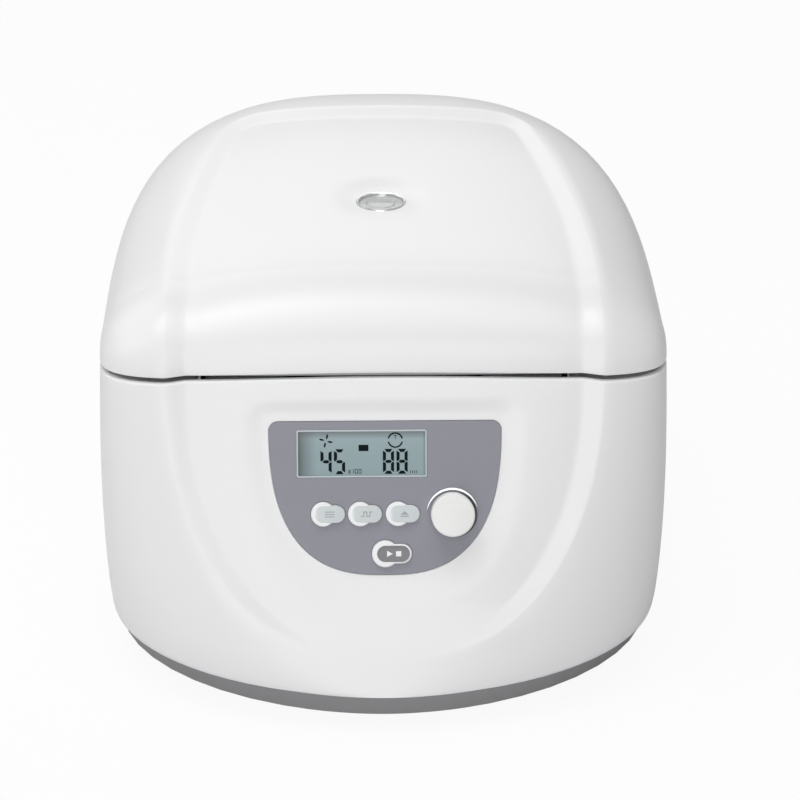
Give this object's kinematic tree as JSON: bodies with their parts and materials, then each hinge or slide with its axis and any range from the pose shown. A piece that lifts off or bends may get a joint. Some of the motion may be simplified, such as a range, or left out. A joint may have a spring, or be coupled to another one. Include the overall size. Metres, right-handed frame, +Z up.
{
  "type": "microplate centrifuge",
  "caption": "Bench centrifuge with a hinged domed lid, a swing-out rotor for microplates in a round chamber, a sloping control panel with display, buttons and knob.",
  "frame": {"origin": "middle of the outline on the plane the feet stand on", "axes": "+X to the operator's right, +Y to the rear, +Z up; the control panel faces -Y"},
  "size_m": [0.314, 0.4, 0.2435],
  "materials": {
    "housing_white": "glossy moulded",
    "pan_grey": "satin",
    "panel_grey": "matt printed",
    "button_white": "satin",
    "black_plastic": "matt",
    "rubber": "matt",
    "stainless": "brushed",
    "rotor_metal": "bead blasted",
    "bezel_silver": "satin",
    "sight_glass": "clear",
    "screen": "clear window over a liquid crystal display",
    "circuit_board": "lacquered board"
  },
  "bodies": {
    "base": {"base_pan": "pan_grey", "feet": "rubber", "lower_housing": "housing_white", "deck": "housing_white", "deck_pillars": "stainless", "chamber_bowl": "stainless", "chamber_base": "stainless", "chamber_gasket": "rubber", "motor_plate": "stainless", "motor_dampers": "rubber", "motor": "rotor_metal", "main_board": "circuit_board", "hinge_bases": "housing_white", "hinge_pins": "stainless", "latch_drive": "black_plastic", "latch_guides": "black_plastic", "control_plate": "panel_grey", "screen_window": "screen", "screen_module": "black_plastic", "panel_board": "circuit_board", "knob_encoder": "stainless", "knob_ring": "bezel_silver", "service_plate": "black_plastic", "power_inlet": "black_plastic", "switch_frame": "black_plastic", "base_screws": "stainless"},
    "lid": {"lid_shell": "housing_white", "lid_liner": "housing_white", "liner_screws": "stainless", "sight_bezel": "bezel_silver", "sight_glass": "sight_glass", "strikers": "stainless", "hinge_arms": "housing_white"},
    "rotor": {"rotor_shaft": "stainless", "rotor_yoke": "rotor_metal", "rotor_nut": "black_plastic"},
    "carrier_a": {"carrier_a": "rotor_metal"},
    "carrier_b": {"carrier_b": "rotor_metal"},
    "latch": {"latch_bar": "stainless"},
    "knob": {"setting_knob": "button_white"},
    "select": {"select_button": "button_white"},
    "pulse": {"pulse_button": "button_white"},
    "door": {"door_button": "button_white"},
    "start": {"start_button": "button_white"},
    "fuse": {"fuse_drawer": "black_plastic"},
    "rocker": {"power_rocker": "black_plastic"}
  },
  "joints": [
    {"name": "lid_hinge", "type": "hinge", "parent": "base", "child": "lid", "pos_m": [0, 0.1955, 0.179], "axis": [-1, 0, 0], "range_deg": [0, 80]},
    {"name": "rotor_spin", "type": "hinge", "parent": "base", "child": "rotor", "pos_m": [0, 0.012, 0.1], "axis": [0, 0, 1], "continuous": true},
    {"name": "carrier_a_swing", "type": "hinge", "parent": "rotor", "child": "carrier_a", "pos_m": [0.0593, 0.012, 0.129], "axis": [0, -1, 0], "range_deg": [0, 90]},
    {"name": "carrier_b_swing", "type": "hinge", "parent": "rotor", "child": "carrier_b", "pos_m": [-0.0593, 0.012, 0.129], "axis": [0, 1, 0], "range_deg": [0, 90]},
    {"name": "latch_slide", "type": "slide", "parent": "base", "child": "latch", "axis": [1, 0, 0], "range_m": [0, 0.006]},
    {"name": "knob_turn", "type": "hinge", "parent": "base", "child": "knob", "pos_m": [0.0358, -0.15686, 0.11027], "axis": [0, -0.9199, 0.3921], "continuous": true},
    {"name": "select_press", "type": "slide", "parent": "base", "child": "select", "axis": [0, 0.9199, -0.3921], "range_m": [0, 0.001], "stiffness_N_per_m": 600},
    {"name": "pulse_press", "type": "slide", "parent": "base", "child": "pulse", "axis": [0, 0.9199, -0.3921], "range_m": [0, 0.001], "stiffness_N_per_m": 600},
    {"name": "door_press", "type": "slide", "parent": "base", "child": "door", "axis": [0, 0.9199, -0.3921], "range_m": [0, 0.001], "stiffness_N_per_m": 600},
    {"name": "start_press", "type": "slide", "parent": "base", "child": "start", "axis": [0, 0.9199, -0.3921], "range_m": [0, 0.001], "stiffness_N_per_m": 600},
    {"name": "rocker_tilt", "type": "hinge", "parent": "base", "child": "rocker", "pos_m": [0.0375, 0.1765, 0.059], "axis": [1, 0, 0], "range_deg": [0, 16]},
    {"name": "fuse_drawer_slide", "type": "slide", "parent": "base", "child": "fuse", "axis": [0, 1, 0], "range_m": [0, 0.016]}
  ]
}
